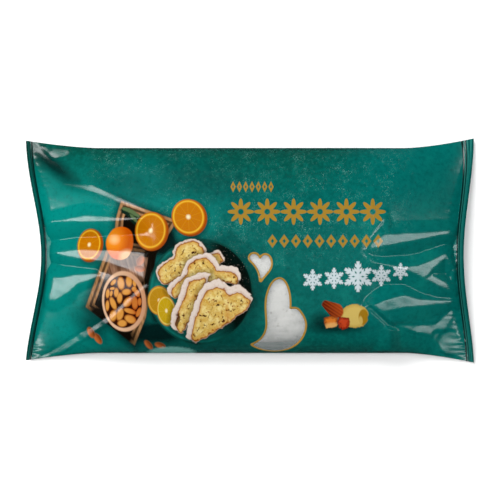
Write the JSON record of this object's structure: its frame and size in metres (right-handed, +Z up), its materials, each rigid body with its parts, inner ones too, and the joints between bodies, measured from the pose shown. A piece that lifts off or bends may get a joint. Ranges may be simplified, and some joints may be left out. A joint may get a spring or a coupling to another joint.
{
  "type": "flow-wrapped stollen",
  "caption": "Long sugared fruit loaf in a glossy printed pillow pack of film, lying on its back, with crimped end seals and heart-shaped clear windows.",
  "frame": {"origin": "middle of the underside, on the surface that the pack lies on", "axes": "+X along the pack towards the end with the wider crimp, +Y across it, +Z up through the printed front"},
  "size_m": [0.2802, 0.14, 0.0385],
  "materials": {
    "printed_film": "glossy printed film",
    "clear_film": "clear glossy film",
    "sugared_crust": "icing sugar on baked crust"
  },
  "bodies": {
    "root": {"wrapper": "printed_film", "window_small": "clear_film", "window_large": "clear_film", "stollen": "sugared_crust"}
  },
  "joints": []
}
